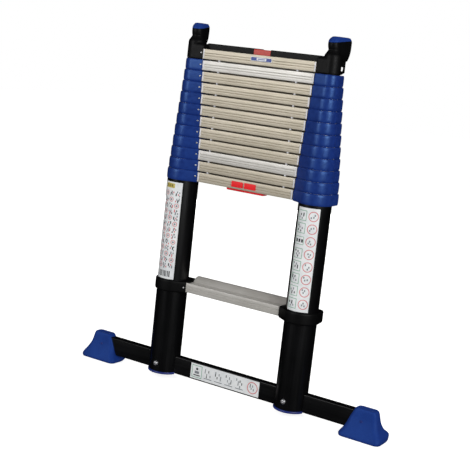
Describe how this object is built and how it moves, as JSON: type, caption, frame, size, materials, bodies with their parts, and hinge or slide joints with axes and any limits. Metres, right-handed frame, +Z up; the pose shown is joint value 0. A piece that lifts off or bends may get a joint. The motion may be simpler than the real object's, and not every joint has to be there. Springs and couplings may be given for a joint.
{
  "type": "telescoping ladder",
  "caption": "Telescoping ladder, closed: nested round stiles with blue collars, a stack of tilted treads, rubber wall pads and a stabiliser bar with splayed rubber feet.",
  "frame": {"origin": "on the floor, below the middle of the ladder: half way between the stiles in X and half way through the overall depth in Y", "axes": "+X along the rungs, +Y to the wall that the ladder leans on, +Z up along the stiles"},
  "size_m": [0.935, 0.1014, 0.963],
  "materials": {
    "black_anodised_aluminium": "satin black anodised tube",
    "black_nylon": "moulded, satin",
    "blue_nylon": "moulded, semi-gloss",
    "blue_collared_tube": "satin aluminium tube with a semi-gloss blue collar",
    "satin_aluminium": "satin, drawn",
    "champagne_anodised_aluminium": "extruded, satin anodised",
    "blue_rubber": "moulded, matt",
    "red_plastic": "moulded, semi-gloss",
    "zinc_plated_steel": "zinc plated"
  },
  "bodies": {
    "base": {"base_tube_left": "black_anodised_aluminium", "base_tube_right": "black_anodised_aluminium", "tube_plug_left": "blue_rubber", "tube_plug_right": "blue_rubber", "stabiliser_bar": "black_anodised_aluminium", "stabiliser_bolt_left": "zinc_plated_steel", "stabiliser_bolt_right": "zinc_plated_steel", "foot_left": "blue_rubber", "foot_right": "blue_rubber", "rung_01": "champagne_anodised_aluminium", "collar_01_left": "black_nylon", "collar_01_right": "black_nylon", "rung_02": "champagne_anodised_aluminium", "collar_02_left": "blue_nylon", "collar_02_right": "blue_nylon", "release_tray": "red_plastic"},
    "button_left": {"release_button_left": "red_plastic"},
    "button_right": {"release_button_right": "red_plastic"},
    "pin_left": {"lock_pin_left": "zinc_plated_steel"},
    "pin_right": {"lock_pin_right": "zinc_plated_steel"},
    "section_03": {"stile_03_left": "blue_collared_tube", "stile_03_right": "blue_collared_tube", "rung_03": "champagne_anodised_aluminium"},
    "section_04": {"stile_04_left": "blue_collared_tube", "stile_04_right": "blue_collared_tube", "rung_04": "champagne_anodised_aluminium"},
    "section_05": {"stile_05_left": "blue_collared_tube", "stile_05_right": "blue_collared_tube", "rung_05": "champagne_anodised_aluminium"},
    "section_06": {"stile_06_left": "blue_collared_tube", "stile_06_right": "blue_collared_tube", "rung_06": "champagne_anodised_aluminium"},
    "section_07": {"stile_07_left": "blue_collared_tube", "stile_07_right": "blue_collared_tube", "rung_07": "champagne_anodised_aluminium"},
    "section_08": {"stile_08_left": "blue_collared_tube", "stile_08_right": "blue_collared_tube", "rung_08": "champagne_anodised_aluminium"},
    "section_09": {"stile_09_left": "blue_collared_tube", "stile_09_right": "blue_collared_tube", "rung_09": "champagne_anodised_aluminium"},
    "section_10": {"stile_10_left": "blue_collared_tube", "stile_10_right": "blue_collared_tube", "rung_10": "champagne_anodised_aluminium"},
    "section_11": {"stile_11_left": "blue_collared_tube", "stile_11_right": "blue_collared_tube", "rung_11": "champagne_anodised_aluminium"},
    "section_12": {"stile_12_left": "blue_collared_tube", "stile_12_right": "blue_collared_tube", "rung_12": "champagne_anodised_aluminium"},
    "section_13": {"tube_13_left": "satin_aluminium", "tube_13_right": "satin_aluminium", "rung_13": "champagne_anodised_aluminium", "top_cap_left": "black_nylon", "top_cap_right": "black_nylon", "wall_pad_left": "blue_rubber", "wall_pad_right": "blue_rubber", "top_rung_cover": "black_nylon", "red_tab": "red_plastic"}
  },
  "joints": [
    {"name": "slide_03", "type": "slide", "parent": "base", "child": "section_03", "axis": [0, 0, 1], "range_m": [0, 0.271]},
    {"name": "slide_04", "type": "slide", "parent": "section_03", "child": "section_04", "axis": [0, 0, 1], "range_m": [0, 0.271]},
    {"name": "slide_05", "type": "slide", "parent": "section_04", "child": "section_05", "axis": [0, 0, 1], "range_m": [0, 0.271]},
    {"name": "slide_06", "type": "slide", "parent": "section_05", "child": "section_06", "axis": [0, 0, 1], "range_m": [0, 0.271]},
    {"name": "slide_07", "type": "slide", "parent": "section_06", "child": "section_07", "axis": [0, 0, 1], "range_m": [0, 0.271]},
    {"name": "slide_08", "type": "slide", "parent": "section_07", "child": "section_08", "axis": [0, 0, 1], "range_m": [0, 0.271]},
    {"name": "slide_09", "type": "slide", "parent": "section_08", "child": "section_09", "axis": [0, 0, 1], "range_m": [0, 0.271]},
    {"name": "slide_10", "type": "slide", "parent": "section_09", "child": "section_10", "axis": [0, 0, 1], "range_m": [0, 0.271]},
    {"name": "slide_11", "type": "slide", "parent": "section_10", "child": "section_11", "axis": [0, 0, 1], "range_m": [0, 0.271]},
    {"name": "slide_12", "type": "slide", "parent": "section_11", "child": "section_12", "axis": [0, 0, 1], "range_m": [0, 0.271]},
    {"name": "slide_13", "type": "slide", "parent": "section_12", "child": "section_13", "axis": [0, 0, 1], "range_m": [0, 0.271]},
    {"name": "button_left_push", "type": "slide", "parent": "base", "child": "button_left", "axis": [0, 1, 0], "range_m": [0, 0.004], "stiffness_N_per_m": 400, "springref_m": -0.003},
    {"name": "button_right_push", "type": "slide", "parent": "base", "child": "button_right", "axis": [0, 1, 0], "range_m": [0, 0.004], "stiffness_N_per_m": 400, "springref_m": -0.003},
    {"name": "pin_left_draw", "type": "slide", "parent": "base", "child": "pin_left", "axis": [1, 0, 0], "range_m": [0, 0.006]},
    {"name": "pin_right_draw", "type": "slide", "parent": "base", "child": "pin_right", "axis": [-1, 0, 0], "range_m": [0, 0.006]}
  ],
  "couplings": [
    {"joint": "pin_left_draw", "follows": "button_left_push", "ratio": 1.5},
    {"joint": "pin_right_draw", "follows": "button_right_push", "ratio": 1.5}
  ]
}
